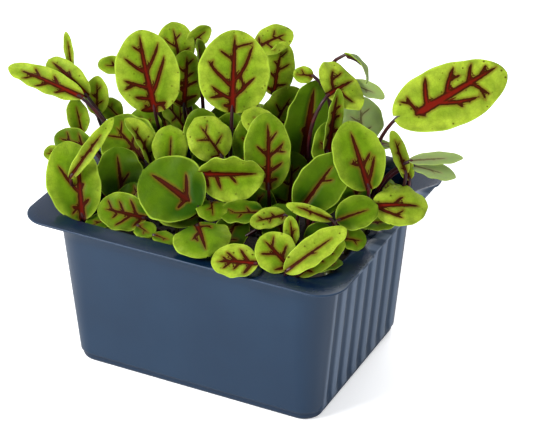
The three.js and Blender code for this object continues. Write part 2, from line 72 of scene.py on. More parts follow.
# Each plant is (x, y) of its foot and its leaves. A leaf is (x, y, z of its neck, azimuth and rise
# of the way its upper face looks, clock of its tip as seen from there, length, width, bend, cup,
# tone, redness), in millimetres and degrees. Tone runs from -1, deep green, to 1, yellow green, and
# redness scales the width of the veins.
FRONT_PLANTS = (
    ((-60, 6),
     (-90, -6, 130, 20, 50, -70, 43, 14, 20, 0.3, 0.6, 1),
     (-91, 2, 127, 20, 45, -50, 30, 14, 50, 0.3, 0.6, 1.1),
     (-107, 14, 135, 26, 20, -8, 19, 5, 5, 0.4, 0.9, 0.4),
     (-88, 7, 115, 30, 15, 2, 20, 13, 10, 0.3, 0.2, 0.7),
     (-91, -4, 108, 26, 15, -12, 19, 12, 10, 0.3, -0.1, 0.5),
     (-72, -2, 89, 20, 25, 7, 22, 18, 10, 0.1, -0.8, 0.6)),
    ((-58, -22),
     (-62, -54, 89, 26, 35, -14, 40, 28, 15, 0.15, -0.2, 1.1),
     (-70, -50, 109, 26, 30, 36, 37, 8, 20, 0.4, 0.6, 0.6),
     (-79, -16, 107, 20, 40, -77, 20, 15, 10, 0.2, -0.5, 0.8),
     (-95, -20, 102, 26, 50, -97, 9, 9, 10, 0.2, 0.5, 0.6),
     (-51, -6, 100, 20, 30, -44, 30, 30, -20, 0.3, -0.4, 0.8),
     (-54, -26, 87, 26, 35, -8, 28, 26, -15, 0.25, -0.75, 0.9)),
    ((-42, -30),
     (-44, -14, 106, 78, 25, -14, 28, 13, 50, 0.6, 1, 0.8),
     (-31, -44, 91, 20, 50, -80, 25, 21, 15, 0.2, -0.4, 1),
     (-49, -48, 88, 0, 75, -140, 14, 12, 10, 0.1, -0.7, 0.6),
     (-42, -35, 82, 15, 35, -10, 20, 20, 15, 0.1, -0.9, 0.7)),
    ((-44, 14),
     (-52, 6, 126, 26, 12, -9, 43, 34, 12, 0.1, 0.25, 1.2),
     (-54, 4, 108, 26, 30, -20, 18, 18, 40, -0.1, -0.3, 0.5),
     (-77, 12, 112, 26, 40, -43, 14, 12, 40, -0.1, -0.2, 0.5),
     (-78, 22, 138, 26, 30, -86, 15, 10, 10, 0.3, 0.2, 0.6),
     (-50, 4, 87, 20, 25, 10, 25, 20, 15, 0.1, -0.9, 0.7)),
    ((-20, -28),
     (-31, -16, 108, 26, 30, 0, 21, 19, 30, -0.05, 0, 0.4),
     (-3, -38, 102, 20, 42, -61, 34, 35, 5, 0.12, -0.7, 1.3),
     (-4, -33, 94, 20, 42, -64, 31, 27, 5, 0.12, -0.3, 0.6),
     (-29, -54, 92, 20, 75, 127, 11, 12, 10, 0.1, -0.4, 0.5),
     (-18, -57, 91, 20, 75, 110, 12, 9, 10, 0.1, -0.4, 0.5)),
    ((-36, 34),
     (-42, 20, 124, 40, 10, 6, 30, 20, 10, 0.2, -0.2, 1.1),
     (-48, 28, 143, 26, 30, -12, 23, 20, 20, 0.1, 0.3, 0.8),
     (-46, 34, 152, 26, 30, 50, 15, 10, 20, 0.3, 0.3, 0.6),
     (-34, 24, 150, 80, 10, 2, 12, 8, 10, 0.4, 0, 0.5),
     (-47, 36, 98, 20, 25, -12, 18, 17, 15, 0.1, -0.6, 0.7),
     (-57, 30, 95, 26, 30, -15, 21, 22, 15, 0.1, -0.7, 0.7),
     (-34, 24, 90, 26, 30, 10, 9, 14, 15, 0.1, -0.9, 0.5)),
    ((-4, -4),
     (-7, 8, 135, 26, 12, 3, 42, 37, 8, 0.08, 0.25, 1.15),
     (-5, -8, 116, 26, 35, -36, 24, 23, 30, -0.05, 0.5, 0.6),
     (-6, -28, 115, 26, 0, 89, 32, 26, 10, 0.5, 0.1, 1.2),
     (-23, 8, 107, 20, 15, -9, 23, 20, 10, 0.1, -0.5, 0.6),
     (-16, 2, 89, 20, 20, -10, 24, 20, 15, 0.1, -0.8, 0.6),
     (-14, 16, 99, 26, 25, 6, 26, 22, 10, 0.1, -0.5, 0.7)),
    ((4, -42),
     (4, -52, 100, 10, 75, 150, 24, 30, 40, -0.1, -0.3, 1.2),
     (28, -28, 101, 20, 75, -97, 22, 17, 10, 0.1, -0.6, 0.6),
     (1, -31, 102, 26, 80, 175, 16, 16, 30, 0, -0.3, 0.5),
     (13, -40, 83, 20, 50, 20, 20, 18, 15, 0.1, -0.9, 0.7)),
    ((0, 34),
     (-8, 38, 157, 26, 45, 66, 21, 16, 30, 0.1, 0.5, 0.8),
     (3, 36, 134, 26, 15, 11, 28, 17, 15, 0.15, 0.4, 0.9),
     (6, 26, 117, 26, 30, 33, 27, 20, 15, 0.3, -0.1, 0.7),
     (-26, 37, 100, 26, 35, 11, 20, 18, 15, 0.1, -0.6, 0.7)),
    ((22, -4),
     (23, -10, 106, 26, 20, -2, 38, 24, 12, 0.12, -0.35, 1),
     (20, 4, 125, 26, 50, -45, 24, 16, 60, 0.1, 0.7, 0.5),
     (29, 2, 90, 26, 10, 2, 30, 24, 20, -0.1, -0.7, 0.7),
     (5, 2, 109, 30, 20, 6, 26, 18, 10, 0.1, -0.4, 0.6),
     (19, -14, 83, 20, 30, -4, 22, 20, 15, 0.1, -0.9, 0.7)),
    ((38, -44),
     (44, -66, 96, 20, 60, -92, 22, 19, 20, 0.2, 0.7, 1.3),
     (58, -58, 94, 30, 40, -42, 20, 21, 15, 0.15, 0.2, 1.2),
     (41, -28, 103, 20, 60, -110, 18, 12, 10, 0.1, 0.6, 0.8),
     (54, -45, 99, 20, 20, -9, 14, 8, 5, 0.3, 0.3, 0.8)),
    ((58, -40),
     (60, -63, 95, 15, 40, 48, 35, 14, 15, 0.4, 1, 0.6),
     (65, -60, 93, 26, 30, 54, 27, 12, 10, 0.2, 0, 0.9),
     (60, -40, 97, 26, 35, 45, 14, 13, 20, 0.1, -0.9, 0.8),
     (67, -55, 93, 30, 80, 77, 18, 10, 10, 0.1, -0.7, 0.8)),
    ((32, 20),
     (30, 16, 111, 30, 10, 9, 43, 26, 10, 0.3, -0.8, 1.4),
     (46, 11, 154, 50, 56, 73, 18, 31, 20, 0.1, 0.8, 1.4),
     (33, 20, 158, 26, 30, -87, 10, 9, 10, 0.2, 0.3, 0.7)),
    ((44, -18),
     (47, -22, 105, 26, 20, 37, 35, 24, 10, 0.2, -0.65, 0.8),
     (51, -10, 97, 40, 20, 34, 31, 16, 10, 0.2, -0.7, 0.7),
     (51, 0, 128, 50, 10, 15, 33, 9, 10, 0.4, -0.3, 1.2),
     (53, 4, 115, 30, 20, -5, 26, 20, 10, 0.1, -0.5, 0.8),
     (69, -34, 111, 30, 30, -70, 23, 7, 10, 0.3, 0.7, 0.6),
     (39, -26, 83, 20, 35, -10, 22, 20, 15, 0.1, -0.9, 0.7)),
    ((62, -20),
     (68, -22, 104, 20, 55, 65, 21, 19, 15, 0.1, -0.4, 0.7),
     (72, -25, 96, 40, 45, 104, 12, 12, 10, 0.1, -0.5, 0.7),
     (81, -6, 107, 40, 60, 99, 27, 24, 40, -0.1, 0.9, 1.3),
     (73, -6, 95, 30, 70, 88, 19, 12, 10, 0.1, -0.4, 0.6)),
    ((60, 4),
     (76, -4, 116, 30, 12, -18, 36, 26, 15, 0.15, -0.2, 1.1),
     (58, 28, 122, 20, 20, -6, 24, 23, 40, -0.1, -0.3, 0.7),
     (71, -6, 107, 30, 30, -8, 19, 18, 10, 0.1, -0.7, 0.7)),
    ((60, 26),
     (82, 18, 147, 20, 25, 65, 58, 32, 12, 0.08, 1, 1.25),
     (90, 10, 121, 26, 30, -19, 22, 8, 5, 0.3, 0.6, 0.7),
     (92, 12, 127, 20, 45, 84, 26, 7, 10, 0.4, -0.2, 0.4),
     (92, 16, 122, 26, 60, 109, 22, 10, 10, 0.3, -0.2, 0.4),
     (91, 13, 116, 40, 20, -17, 14, 8, 10, 0.3, 0.2, 0.8)),
    ((36, 42),
     (48, 27, 170, 120, 38, -150, 20, 10, 90, 0.2, -0.1, 0.5),
     (51, 27, 154, 26, 55, 115, 19, 9, 10, 0.4, 0.2, 0.4)),
)

# The rear row repeats one fan of leaves with small seeded differences. A foot is (x, y, size of
# its fan), and each row of the fan is (azimuth, how far out, height, rise, clock, length, width).
REAR_FEET = ((-62, 32, 1), (-26, 49, 1), (8, 49, 1), (46, 48, 0.9), (66, 38, 0.55))
REAR_FAN = (
    (95, 13, 33, 25, -20, 24, 20),
    (155, 12, 38, 60, 160, 25, 21),
    (190, 9, 33, 20, 0, 24, 18),
    (265, 13, 32, 25, 20, 24, 20),
)
REAR_SEED, REAR_BEND, REAR_CUP = 11, 20, 0.12
REAR_TONES = (0.1, -0.2, 0.3, -0.4)
REAR_REDNESS = 0.9

# The side veins of the leaves that stand out, by plant and leaf. Each is (where it leaves the
# midrib as a share of the length, how far it runs to the margin, the angle that it leaves at in
# degrees). A negative reach is to the left, seen from the neck. Other leaves follow a rule.
SIDE_VEINS = {
    (4, 1): ((0.02, -0.5, 88), (0.13, -0.62, 76), (0.27, -0.78, 66), (0.46, -0.72, 56),
             (0.72, -0.5, 48), (0.04, 0.5, 72), (0.19, 0.66, 42), (0.47, 0.66, 40)),
    (7, 1): ((0.04, -0.35, 80), (0.13, -0.66, 66), (0.28, -0.8, 52), (0.62, -0.55, 55),
             (0.15, 0.6, 50), (0.35, 0.74, 40), (0.78, 0.8, 72)),
    (17, 1): ((0.17, -0.6, 112), (0.26, -0.88, 82), (0.45, -0.86, 70), (0.66, -0.84, 68),
              (0.78, -0.8, 50), (0.17, 0.38, 45), (0.33, 0.42, 18), (0.68, 0.6, 54)),
    (5, 2): ((0.2, -0.45, 78), (0.21, 0.66, 60)),
    (7, 3): ((0.05, 0.66, 72), (0.22, 0.6, 66), (0.45, 0.45, 58), (0.1, -0.3, 60)),
    (10, 1): ((0.07, -0.5, 72), (0.2, -0.56, 62), (0.42, -0.52, 54), (0.07, 0.5, 72),
              (0.2, 0.7, 60), (0.4, 0.76, 52), (0.6, 0.6, 48)),
    (16, 1): ((0.34, -0.42, 62), (0.3, 0.5, 40), (0.06, 0.6, 36)),
    (13, 1): ((0.3, -0.3, 40), (0.5, 0.25, 40)),
    (13, 2): ((0.22, -0.7, 74), (0.34, 0.7, 84)),
    (15, 3): ((0.02, 0.66, 48), (0.34, -0.4, 50)),
    (5, 1): (),
    (8, 1): ((0.1, -0.6, 76), (0.3, 0.35, 50)),
    (2, 1): ((0.1, -0.4, 62), (0.3, -0.5, 40), (0.12, 0.5, 55), (0.34, 0.4, 46)),
    (2, 6): ((0.3, 0.4, 50),),
    (1, 2): ((0.3, -0.6, 50), (0.55, -0.5, 46), (0.42, 0.5, 48)),
    (12, 1): ((0.4, 0.3, 40),),
    (14, 1): ((0.5, 0.35, 50),),
    (15, 1): (),
    (1, 1): ((0.2, -0.7, 56), (0.42, -0.8, 52), (0.64, -0.7, 46), (0.3, 0.7, 50), (0.55, 0.7, 46)),
}

# The midribs that don't run straight up the blade, by plant and leaf: (share of the length and
# millimetres to the right where the midrib starts, the same where it ends), seen from the neck.
MIDRIBS = {
    (17, 1): (0.15, 2.3, 0.93, -4.5),
    (2, 1): (0, 0, 0.72, 4.5),
    (5, 2): (0.16, 0, 0.86, 0.5),
    (4, 1): (0, 0, 0.92, -0.5),
    (7, 1): (0, 0, 0.92, -0.5),
}

# The leaves that show their paler backs, by plant and leaf: their upper face looks the other way.
BACK_SHOWN = {(16, 2), (17, 3), (17, 4), (18, 1), (18, 2)}


def seeded_draw(seed):
    """The same even draw from -1 to 1 as the solids use."""
    state = seed
    while True:
        state = state * 48271 % 2147483647
        yield 2 * state / 2147483647 - 1


def rear_plants():
    draw = seeded_draw(REAR_SEED)
    plants = []
    for x, y, size in REAR_FEET:
        leaves = []
        for (azimuth, out, height, rise, clock, long, wide), tone in zip(REAR_FAN, REAR_TONES):
            azimuth += 6 * next(draw)
            turn = math.radians(azimuth)
            reach = size * (out + next(draw))
            z = SOIL_LEVEL + size * (height + 2 * next(draw))
            leaves.append((
                x + reach * math.sin(turn), y - reach * math.cos(turn), z,
                azimuth, rise + 6 * next(draw), clock + 8 * next(draw),
                size * (long + 2 * next(draw)), size * wide,
                REAR_BEND, REAR_CUP, tone, REAR_REDNESS))
        plants.append(((x, y), *leaves))
    return tuple(plants)


PLANTS = FRONT_PLANTS + rear_plants()

# ---- settings a user would change


def length_prop(name, description, value_mm):
    return bpy.props.FloatProperty(
        name=name, description=description, default=value_mm * MM, min=0, precision=5,
        unit="LENGTH")


def linear(hex_colour):
    """An sRGB hex colour such as "#3f5169" as linear red, green, blue."""
    parts = [int(hex_colour[i:i + 2], 16) / 255 for i in (1, 3, 5)]
    return tuple(c / 12.92 if c <= 0.04045 else ((c + 0.055) / 1.055) ** 2.4 for c in parts)


def colour_prop(name, description, hex_colour):
    return bpy.props.FloatVectorProperty(
        name=name, description=description, default=linear(hex_colour), size=3, min=0, max=1,
        subtype="COLOR")


class TraySettings(bpy.types.PropertyGroup):
    groove_depth: length_prop("Groove depth", "How deep the ribs' grooves are", 1.6)
    lip_round: length_prop("Lip round", "Radius where the wall turns into the flange", 1.4)
    plastic: colour_prop("Plastic", "Colour of the drawn walls", "#17314a")
    # The dark colour is the plastic's darker clouds, and also painted shade on the flange's top,
    # the inside and the foot.
    plastic_dark_and_shade: colour_prop("Plastic, thick", "Colour of the undrawn flange", "#051b33")
    # The thin colour is a painted highlight on the ribs' ridges.
    plastic_ridge_highlight: colour_prop("Plastic, thin", "Colour of the ribs' stretched ridges", "#66758a")


class PlantSettings(bpy.types.PropertyGroup):
    blade_thickness: length_prop("Blade thickness", "Thickness of a blade at its middle", 0.7)
    ruffle: length_prop("Ruffle", "How far a margin waves out of the blade", 0.7)
    quilt: length_prop("Quilting", "How far the blade rises between side veins", 0.7)
    midrib: length_prop("Midrib", "Half the midrib's width at the base of a large blade", 1.6)
    deep: colour_prop("Deep green", "Blade colour in old and shaded leaves", "#2b4f06")
    green: colour_prop("Green", "Blade colour between the veins", "#7c9f18")
    margin: colour_prop("Margin", "Blade colour at its edge", "#b2c83c")
    halo: colour_prop("Halo", "Blade colour beside a vein", "#76541a")
    vein: colour_prop("Vein", "Colour of the veins", "#7c0d0c")
    vein_edge: colour_prop("Vein edge", "Colour of a vein's edge", "#380b04")
    stalk: colour_prop("Stalk", "Colour of the stalks", "#2e0f14")


class StageSettings(bpy.types.PropertyGroup):
    floor: colour_prop("Floor", "Colour of the floor", "#f2f2f2")
    key_power: bpy.props.FloatProperty(
        name="Key light", description="Power of the main soft light", default=25.0, min=0,
        unit="POWER")
    room_light: bpy.props.FloatProperty(
        name="Room light", description="Strength of the light from all round", default=0.26, min=0,
        subtype="FACTOR")


# ---- mesh helpers


def add_object(name, data):
    item = bpy.data.objects.new(name, data)
    bpy.context.scene.collection.objects.link(item)
    return item


def mesh_object(name, bm, materials):
    """Turns a bmesh in metres into an object at the origin."""
    mesh = bpy.data.meshes.new(name)
    bm.to_mesh(mesh)
    bm.free()
    mesh.shade_smooth()
    for material in materials:
        mesh.materials.append(material)
    return add_object(name, mesh)


def finish_piece(name, bm, materials, nodes):
    """Turns a bmesh into a finished piece that stands for the named nodes."""
    piece = mesh_object(name, bm, materials)
    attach(piece, "root")
    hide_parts(*nodes)


def faces_of(verts):
    """The faces at the given vertices, each once and always in the same order."""
    return list(dict.fromkeys(face for vert in verts for face in vert.link_faces))


def axes(azimuth, rise):
    """The way that looks out at an azimuth and a rise in degrees, and its right and its up."""
    az, el = math.radians(azimuth), math.radians(rise)
    out = Vector((math.sin(az) * math.cos(el), -math.cos(az) * math.cos(el), math.sin(el)))
    right = Vector((math.cos(az), math.sin(az), 0))
    return out, right, out.cross(right)


def wrap_rings(bm, rings):
    """A closed skin over rings of equally many points: a grid wrapped round them, with its seam
    joined and both ends filled. Gives its vertices."""
    around, along = len(rings[0]), len(rings) - 1
    grid = bmesh.ops.create_grid(bm, x_segments=around, y_segments=along, size=1)["verts"]
    for vert in grid:
        i = round((vert.co.x + 1) / 2 * around) % around
        j = round((vert.co.y + 1) / 2 * along)
        vert.co = rings[j][i]
    bmesh.ops.remove_doubles(bm, verts=grid, dist=1e-8)
    grid = [vert for vert in grid if vert.is_valid]
    edges = (edge for vert in grid for edge in vert.link_edges if edge.is_boundary)
    bmesh.ops.holes_fill(bm, edges=list(dict.fromkeys(edges)), sides=around)
    bmesh.ops.recalc_face_normals(bm, faces=faces_of(grid))
    return grid


# ---- tray


CORNER_STEPS, GROOVE_STEPS, SIDE_STEPS, WALL_STEPS = 14, 12, 6, 6


def groove_dip(share, depth):
    """How far a ribbed end dips at a share of one rib's pitch: round ridges and round grooves."""
    return depth * (0.5 - 0.5 * math.cos(2 * math.pi * share))


def tray_ring(corner_x, corner_y, radius, z, groove=0.0, notch=False):
    """A rounded rectangle at one height, anticlockwise from the right end, as points in metres."""
    points = []

    def add(x, y):
        if notch and x > corner_x and NOTCH_FROM < y < NOTCH_TO:
            x = min(x, RIM_LENGTH / 2 - NOTCH_DEPTH)
        points.append(Vector((x, y, z)) * MM)

    def corner(sx, sy, start):
        for i in range(CORNER_STEPS + 1):
            turn = math.radians(start + 90 * i / CORNER_STEPS)
            add(sx * corner_x + radius * math.cos(turn), sy * corner_y + radius * math.sin(turn))

    end_steps = GROOVE_COUNT * GROOVE_STEPS
    for side, start in ((1, 0), (-1, 180)):
        for i in range(1, end_steps):
            dip = groove_dip(i / GROOVE_STEPS, groove)
            add(side * (corner_x + radius - dip), side * corner_y * (2 * i / end_steps - 1))
        corner(side, side, start)
        for i in range(1, SIDE_STEPS):
            add(side * corner_x * (1 - 2 * i / SIDE_STEPS), side * (corner_y + radius))
        corner(-side, side, start + 90)
    return points


def wall_radius(z):
    share = (z - FOOT_HEIGHT) / (UNDER_FLANGE - FOOT_HEIGHT)
    return BASE_RADIUS + (MOUTH_RADIUS - BASE_RADIUS) * share


def round_profile(centre, radius, start, stop, steps):
    """Points (reach, height) on an arc, angles in degrees from straight out."""
    for i in range(steps + 1):
        turn = math.radians(start + (stop - start) * i / steps)
        yield centre[0] + radius * math.cos(turn), centre[1] + radius * math.sin(turn)


def tray_rings(groove_depth, lip):
    """The tray's skin as rings: up the outside, over the flange and down the inside."""
    def wall(radius, z, groove=0.0):
        return tray_ring(CORNER_X, CORNER_Y, radius, z, groove)

    def slope(z, groove, inset=0):
        return wall(wall_radius(z) - inset, z, groove)

    def flange(inset, z):
        return tray_ring(RIM_LENGTH / 2 - FLANGE_RADIUS, RIM_WIDTH / 2 - FLANGE_RADIUS,
                         FLANGE_RADIUS - inset, z, notch=True)

    grooved = FOOT_HEIGHT + GROOVE_RISE
    foot = BASE_RADIUS - FOOT_INSET
    rings = [wall(foot - FOOT_ROUND - 6, 0)]
    rings += [wall(reach, z) for reach, z in
              round_profile((foot - FOOT_ROUND, FOOT_ROUND), FOOT_ROUND, -90, 0, 6)]
    rings += [wall(reach, z) for reach, z in
              round_profile((BASE_RADIUS, FOOT_HEIGHT - FOOT_INSET), FOOT_INSET, 180, 90, 4)]
    rings += [slope(FOOT_HEIGHT + GROOVE_RISE * i / 4, groove_depth * (i / 4) ** 0.7)
              for i in range(1, 4)]
    rings += [slope(grooved + (UNDER_FLANGE - grooved) * i / WALL_STEPS, groove_depth)
              for i in range(WALL_STEPS + 1)]
    edge = SHEET / 2
    rings += [flange(edge, UNDER_FLANGE)]
    rings += [flange(edge - reach, z) for reach, z in
              round_profile((0, UNDER_FLANGE + edge), edge, -60, 60, 4)]
    rings += [flange(edge, TRAY_HEIGHT)]
    centre = MOUTH_RADIUS + lip - SHEET, TRAY_HEIGHT - lip - edge
    rings += [wall(reach, z, groove_depth * (i / 6) ** 2) for i, (reach, z) in
              enumerate(round_profile(centre, lip + edge, 90, 165, 5))]
    rings += [slope(grooved + (centre[1] - 1 - grooved) * i / WALL_STEPS, groove_depth, SHEET)
              for i in range(WALL_STEPS, -1, -1)]
    rings += [wall(BASE_RADIUS - SHEET, FOOT_HEIGHT)]
    rings += [wall(foot - SHEET, FOOT_HEIGHT - FOOT_INSET)]
    rings += [wall(foot - FOOT_ROUND, SHEET)]
    return rings


# ---- leaves


class Leaf:
    """One leaf's middle surface, as the solids have it."""

    def __init__(self, row, foot, key):
        (x, y, z, azimuth, rise, clock, self.long, self.wide, bend, self.cup, self.tone,
         self.redness) = row
        self.face, right, up = axes(azimuth, rise)
        turn = math.radians(clock)
        self.along = up * math.cos(turn) + right * math.sin(turn)
        self.across = self.along.cross(self.face)
        self.neck = Vector((x, y, z))
        self.bend = math.radians(bend)
        self.foot = foot
        self.number = 100 * key[0] + key[1]
        self.side_veins = SIDE_VEINS.get(key)
        self.midrib = MIDRIBS.get(key)
        self.skin_side = -1 if key in BACK_SHOWN else 1

    def half_width(self, u):
        full = BASE_FULLNESS ** BASE_FULLNESS * TIP_FULLNESS ** TIP_FULLNESS
        u = min(max(u, 0), 1)
        return self.wide / 2 * u ** BASE_FULLNESS * (1 - u) ** TIP_FULLNESS / full

    def point(self, u, v):
        """The middle surface's point and normal, for a share of the length and a place across."""
        turn = self.bend * (u - 0.5)
        chord = (math.sin(turn) + math.sin(self.bend / 2)) / self.bend
        sag = (math.cos(turn) - math.cos(self.bend / 2)) / self.bend
        upward = self.face * math.cos(turn) + self.along * math.sin(turn)
        half = self.half_width(u)
        place = (self.neck + self.along * chord * self.long + self.face * sag * self.long
                 + self.across * half * v + upward * self.cup * half * v * v)
        normal = (upward - self.across * 2 * self.cup * v).normalized()
        return place, normal


# Veins, in mm, degrees and shares of the leaf's length. A spread is how much a draw from -1 to 1
# changes the value before it.
FULL_LEAF = 42          # length of a leaf whose midrib has its full width
MIDRIB_TAPER = 0.6      # share of its width that the midrib loses up to its end
VEIN_STEP = 1.0         # from one point of a side vein to the next
SIDE_SHARE = 0.62       # a side vein's half width, as a share of the midrib's where it starts
SIDE_TAPER = 0.33       # share of its width that a side vein loses
TURN, TURN_SPREAD = 1.3, 0.5    # how far a side vein turns to the tip at each step
WANDER = 4.5            # how far it may stray at each step
STEEP = 20              # the angle to the midrib under which it turns no more
FORKS, FORK_SPREAD = (0.5, 0.74), 0.1   # where on its way a side vein may fork
FORK_TURN, FORK_TURN_SPREAD = 48, 8
FORK_WIDTH = 0.8        # a fork's width, as a share of its vein's
SHORTEST_FORK = 3.5
FORK_UNDER = -0.5       # a fork grows where a draw from -1 to 1 is under this
RULE_SPACING = 8.5      # between the side veins that follow a rule
RULE_START, RULE_SPAN, RULE_SPREAD = 0.06, 0.72, 0.04
RULE_REACH, RULE_REACH_LOSS, RULE_REACH_SPREAD = 0.74, 0.25, 0.14
RULE_ANGLES, RULE_ANGLE_SPREAD = (72, 40), 7    # at the base and at the tip


def rule_side_veins(leaf, draw):
    """Side veins for a leaf that has no layout of its own: alternate, jittered, fewer when pale."""
    count = round(leaf.long / RULE_SPACING * min(leaf.redness, 1))
    low, high = RULE_ANGLES
    veins = []
    for i in range(count):
        for side in (-1, 1):
            share = RULE_START + RULE_SPAN * (i + 0.5 * (side > 0)) / count
            share += RULE_SPREAD * next(draw)
            reach = RULE_REACH - RULE_REACH_LOSS * share + RULE_REACH_SPREAD * next(draw)
            reach *= min(leaf.redness + 0.15, 1)
            angle = low + (high - low) * share + RULE_ANGLE_SPREAD * next(draw)
            veins.append((share, side * reach, angle))
    return veins


def vein_paths(leaf, half_width):
    """The leaf's veins on the flat blade: lists of (across, along, half width) in mm. Side veins
    turn towards the tip as they go, fork, and stop short of the margin."""
    draw = seeded_draw(leaf.number)
    # The first draws of near seeds are alike, so they are left out.
    for _ in range(3):
        next(draw)
    thick = half_width * leaf.redness * (leaf.long / FULL_LEAF) ** 0.6
    # The redder the leaf, the farther up its midrib runs.
    top = 0.56 + 0.28 * min(leaf.redness, 1) + 0.04 * next(draw)
    lean = 0.03 * leaf.long * next(draw)
    low, low_across, top, top_across = leaf.midrib or (0, 0, top, 0)
    steps = max(round(leaf.long * top / 2), 4)

    def rib(t):
        across = low_across + (top_across - low_across) * t + lean * math.sin(3 * t * top) * t
        along = (low + (top - low) * t) * leaf.long
        start = min(0.35 + 8 * t, 1) if low else 1
        return across, along, thick * start * (1 - MIDRIB_TAPER * t) * (1 - t ** 12)

    paths = [[rib(i / steps) for i in range(steps + 1)]]
    side_veins = rule_side_veins(leaf, draw) if leaf.side_veins is None else leaf.side_veins
    for share, reach, angle in side_veins:
        side, reach = math.copysign(1, reach), abs(reach)
        start = rib(min(max((share - low) / (top - low), 0), 1))
        width = min(SIDE_SHARE * start[2] + 0.15, SIDE_SHARE * thick) * (0.8 + 0.2 * reach)
        path = grow_vein(leaf, start, side, angle, reach, width, draw)
        paths.append(path)
        for at in FORKS:
            k = round((at + FORK_SPREAD * next(draw)) * (len(path) - 1))
            length = (len(path) - k) * (0.9 + 0.3 * next(draw))
            turn = path[k][3] + math.copysign(
                FORK_TURN + FORK_TURN_SPREAD * next(draw), next(draw))
            if length > SHORTEST_FORK and next(draw) < FORK_UNDER:
                paths.append(grow_vein(leaf, path[k], side, turn, min(reach + 0.08, 0.92),
                                       FORK_WIDTH * path[k][2], draw, length))
    return paths


def grow_vein(leaf, start, side, angle, reach, width, draw, length=60):
    """One side vein from its start, until it is as far out as its reach or as long as it may be."""
    x, y = start[:2]
    path = []
    turning = TURN + TURN_SPREAD * next(draw)
    for i in range(int(length) + 1):
        path.append([x, y, width, angle])
        x += side * VEIN_STEP * math.sin(math.radians(angle))
        y += VEIN_STEP * math.cos(math.radians(angle))
        angle += (-turning if angle > STEEP else 0) + WANDER * next(draw)
        if abs(x) > reach * leaf.half_width(max(y / leaf.long, 0.2)):
            break
    for i, point in enumerate(path):
        share = i / max(len(path) - 1, 1)
        point[2] = width * (1 - SIDE_TAPER * share) * (1 - share ** 10)
    return path


def vein_fields(paths, places):
    """For flat places (across, along): the way to the vein that reaches them best, that vein's half
    width there, and how far outside its edge they are, all in mm."""
    pairs = np.array([(a[:3], b[:3]) for path in paths for a, b in zip(path, path[1:])])
    start, span = pairs[:, 0], pairs[:, 1] - pairs[:, 0]
    width, widening = start[:, 2], span[:, 2]
    start, span = start[:, :2], span[:, :2]
    offset = places[:, None] - start
    share = np.clip((offset * span).sum(-1) / np.maximum((span ** 2).sum(-1), 1e-9), 0, 1)
    way = span * share[..., None] - offset
    width = width + widening * share
    outside = np.hypot(way[..., 0], way[..., 1]) - width
    best = outside.argmin(1)
    pick = np.arange(len(places))
    return way[pick, best], width[pick, best], outside[pick, best]


def leaf_steps(leaf):
    """Rows and columns of a blade's grid, a little over one for each millimetre."""
    rows = min(max(round(leaf.long * 1.15), 14), 56)
    columns = 2 * min(max(round(leaf.wide * 0.62), 6), 20)
    return rows, columns


# What each vertex of a plant knows, for its materials: the way to the nearest vein and its half
# width in mm; how far outside the vein it is in mm, how near the margin and how near the tip; the
# leaf's tone and which face it is on; and its place on the flat leaf in metres, with the leaf's
# number so that no two leaves are marked alike.
LAYERS = ("vein", "blade", "leaf", "flat")

UNEVEN = 0.08       # how far the outline strays from the smooth one, as a share of the half width
LOBE = 0.05         # how far the base's lobes reach back past the neck, as a share of the length
END = 0.0005        # how much of the length is cut off at both ends, which gives them a width
FULL_WIDTH = 24     # mm, the width of a blade whose relief has its full height
WAVE_LENGTH = 16    # mm of blade for each wave of its margin
QUILT_REACH = 2.5   # mm beside a vein over which the blade rises
CREASE, CREASE_WIDTH = 0.35, 1.6    # mm, how deep and wide the blade dips along its midrib
THIN_MARGIN = 0.25  # a margin's thickness, as a share of the middle's


def add_blade(bm, leaf, settings):
    """A blade: a grid given its thickness while flat, then laid on the leaf's form."""
    rows, columns = leaf_steps(leaf)
    layers = [bm.verts.layers.float_vector[name] for name in LAYERS]
    known = set(bm.verts)
    grid = bmesh.ops.create_grid(bm, x_segments=columns, y_segments=rows, size=1)["verts"]
    bmesh.ops.solidify(bm, geom=faces_of(grid), thickness=1)
    verts = [vert for vert in bm.verts if vert not in known]
    level = sum(vert.co.z for vert in verts) / len(verts)
    spots = [((1 - (1 - 2 * END) * math.cos(math.pi * (vert.co.y + 1) / 2)) / 2, vert.co.x,
              1 if vert.co.z > level else -1) for vert in verts]
    outs = [leaf.half_width(u) * v * (1 + UNEVEN * noise.noise(
        Vector((u * 3.5, 2 * (v > 0), leaf.number * 0.77)))) for u, v, _ in spots]
    places = np.array([(out, u * leaf.long) for out, (u, v, _) in zip(outs, spots)])
    way, width, outside = vein_fields(vein_paths(leaf, settings.midrib / MM), places)
    thick = settings.blade_thickness / MM
    waves = 1.5 + leaf.long / WAVE_LENGTH
    size = min(leaf.wide / FULL_WIDTH, 1)
    for k, (vert, (u, v, side)) in enumerate(zip(verts, spots)):
        spot, normal = leaf.point(u, v)
        spot = spot + leaf.across * (outs[k] - leaf.half_width(u) * v)
        inside = 1 - abs(v) ** 3
        rise = min(max(outside[k] / QUILT_REACH, 0), 1)
        lift = settings.quilt / MM * rise * rise * (3 - 2 * rise) * inside * size
        lift -= CREASE * size * math.exp(-(outs[k] / CREASE_WIDTH) ** 2) * (1 - u)
        # The two margins wave out of step.
        wave = math.sin(2 * math.pi * waves * u + leaf.number + 1.7 * (v > 0))
        wave += 1.3 * noise.noise(Vector((u * 4, v * 1.2, leaf.number * 1.37)))
        lift += settings.ruffle / MM * wave * abs(v) ** 2.5 * size
        edge = max(THIN_MARGIN, 1 - abs(v) ** 4) * (1 - 0.5 * u)
        spot = spot + normal * (lift + side * thick / 2 * edge)
        spot = spot - leaf.along * (LOBE * leaf.long * abs(v) ** 1.5 * (1 - u) ** 9)
        vert.co = spot * MM
        vert[layers[0]] = (way[k][0], way[k][1], width[k])
        vert[layers[1]] = (outside[k], abs(v), u)
        vert[layers[2]] = (leaf.tone, side * leaf.skin_side, 0)
        vert[layers[3]] = (outs[k] * MM, u * leaf.long * MM, leaf.number)


